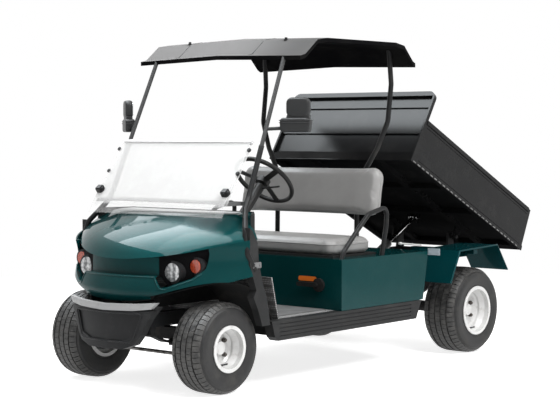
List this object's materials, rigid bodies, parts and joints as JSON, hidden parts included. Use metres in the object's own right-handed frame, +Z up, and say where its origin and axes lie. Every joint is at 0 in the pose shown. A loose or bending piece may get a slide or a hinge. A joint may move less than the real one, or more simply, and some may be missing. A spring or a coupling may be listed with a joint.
{
  "type": "electric utility cart",
  "caption": "Two-seat electric utility cart with a folding clear windshield, moulded roof, tipping cargo bed, coupled steering and electric bed lift.",
  "frame": {"origin": "on the ground under the middle of the cart's overall length and width", "axes": "+Z up, the cart faces -Y, +X is its left side"},
  "size_m": [1.38, 3.207, 1.7979],
  "materials": {
    "body_green": "metallic gloss paint over moulded panels",
    "trim_black": "grained moulded plastic",
    "frame_black": "satin black paint",
    "bed_black": "powder-coated sheet steel",
    "fender_black": "moulded sheet",
    "floor_black": "ribbed rubber mat on a painted pan",
    "battery_case": "plain battery cases",
    "lamp_clear": "clear lens",
    "lamp_amber": "amber lens",
    "lamp_red": "red lens",
    "strip_grey": "light grey insert",
    "seat_vinyl": "grey vinyl over foam",
    "roof_grey": "moulded canopy",
    "clear_pane": "clear acrylic sheet",
    "rail_grey": "anodised extrusion",
    "grip_black": "moulded grip over a steel ring",
    "bare_steel": "forged steel, oiled",
    "lift_grey": "painted tube",
    "bright_rod": "bright rod",
    "tyre_rubber": "pneumatic tyre",
    "wheel_silver": "white-silver enamel"
  },
  "bodies": {
    "chassis": {"frame": "frame_black", "cross_members": "frame_black", "front_axle": "frame_black", "rear_axle": "frame_black", "battery_pack": "battery_case", "cowl": "body_green", "hood": "body_green", "headlamps": "lamp_clear", "turn_signals": "lamp_amber", "lamp_bezels": "trim_black", "bumper": "trim_black", "bumper_strip": "strip_grey", "fenders": "fender_black", "side_pillars": "trim_black", "dashboard": "trim_black", "floor_pan": "floor_black", "rockers": "trim_black", "seat_box": "body_green", "backrest": "seat_vinyl", "armrests": "frame_black", "roof_struts": "frame_black", "roof": "roof_grey", "windshield": "clear_pane", "windshield_rail": "rail_grey", "mirrors": "trim_black", "driver_controls": "trim_black", "tail_lamps": "lamp_red"},
    "steering_wheel": {"steering_wheel": "grip_black"},
    "left_knuckle": {"left_knuckle": "bare_steel"},
    "right_knuckle": {"right_knuckle": "bare_steel"},
    "tie_rod": {"tie_rod": "bare_steel"},
    "front_left_wheel": {"front_left_tyre": "tyre_rubber", "front_left_rim": "wheel_silver"},
    "front_right_wheel": {"front_right_tyre": "tyre_rubber", "front_right_rim": "wheel_silver"},
    "rear_left_wheel": {"rear_left_tyre": "tyre_rubber", "rear_left_rim": "wheel_silver"},
    "rear_right_wheel": {"rear_right_tyre": "tyre_rubber", "rear_right_rim": "wheel_silver"},
    "bed": {"cargo_bed": "bed_black"},
    "tailgate": {"tailgate": "bed_black"},
    "lift_barrel": {"lift_barrel": "lift_grey"},
    "lift_rod": {"lift_rod": "bright_rod"},
    "seat_lid": {"seat_base": "frame_black", "seat_cushion": "seat_vinyl"}
  },
  "joints": [
    {"name": "steer_left", "type": "hinge", "parent": "chassis", "child": "left_knuckle", "pos_m": [0.3, -1.26152, 0.2286], "axis": [0, 0, 1], "range_deg": [-25, 25]},
    {"name": "steer_right", "type": "hinge", "parent": "chassis", "child": "right_knuckle", "pos_m": [-0.3, -1.26152, 0.2286], "axis": [0, 0, 1], "range_deg": [-26, 26]},
    {"name": "tie_rod_slide", "type": "slide", "parent": "chassis", "child": "tie_rod", "axis": [1, 0, 0], "range_m": [-0.05, 0.05]},
    {"name": "steering_wheel_turn", "type": "hinge", "parent": "chassis", "child": "steering_wheel", "pos_m": [0.28, -0.70652, 1.039], "axis": [0, 0.6947, 0.7193], "range_deg": [-305, 305]},
    {"name": "front_left_spin", "type": "hinge", "parent": "left_knuckle", "child": "front_left_wheel", "pos_m": [0.435, -1.26152, 0.2286], "axis": [1, 0, 0], "continuous": true},
    {"name": "front_right_spin", "type": "hinge", "parent": "right_knuckle", "child": "front_right_wheel", "pos_m": [-0.435, -1.26152, 0.2286], "axis": [1, 0, 0], "continuous": true},
    {"name": "rear_left_spin", "type": "hinge", "parent": "chassis", "child": "rear_left_wheel", "pos_m": [0.555, 0.75848, 0.25], "axis": [1, 0, 0], "continuous": true},
    {"name": "rear_right_spin", "type": "hinge", "parent": "chassis", "child": "rear_right_wheel", "pos_m": [-0.555, 0.75848, 0.25], "axis": [1, 0, 0], "continuous": true},
    {"name": "bed_tip", "type": "hinge", "parent": "chassis", "child": "bed", "pos_m": [0, 1.18648, 0.639], "axis": [-1, 0, 0], "range_deg": [-25.83, 9.2]},
    {"name": "tailgate_hinge", "type": "hinge", "parent": "bed", "child": "tailgate", "pos_m": [0, 1.47812, 0.56671], "axis": [-1, 0, 0], "range_deg": [0, 90]},
    {"name": "lift_pivot", "type": "hinge", "parent": "chassis", "child": "lift_barrel", "pos_m": [0, 0.39848, 0.4], "axis": [1, 0, 0], "range_deg": [-3.4, 1.3]},
    {"name": "lift_extend", "type": "slide", "parent": "lift_barrel", "child": "lift_rod", "axis": [0, 0.8787, 0.4775], "range_m": [-0.071, 0.027]},
    {"name": "seat_lid", "type": "hinge", "parent": "chassis", "child": "seat_lid", "pos_m": [0, -0.00952, 0.654], "axis": [-1, 0, 0], "range_deg": [0, 60]}
  ],
  "couplings": [
    {"joint": "steer_right", "follows": "steer_left", "ratio": 1},
    {"joint": "tie_rod_slide", "follows": "steer_left", "m_per_rad": 0.11},
    {"joint": "steering_wheel_turn", "follows": "steer_left", "ratio": 12},
    {"joint": "lift_pivot", "follows": "bed_tip", "ratio": 0.1169},
    {"joint": "lift_extend", "follows": "bed_tip", "m_per_rad": 0.1523}
  ]
}
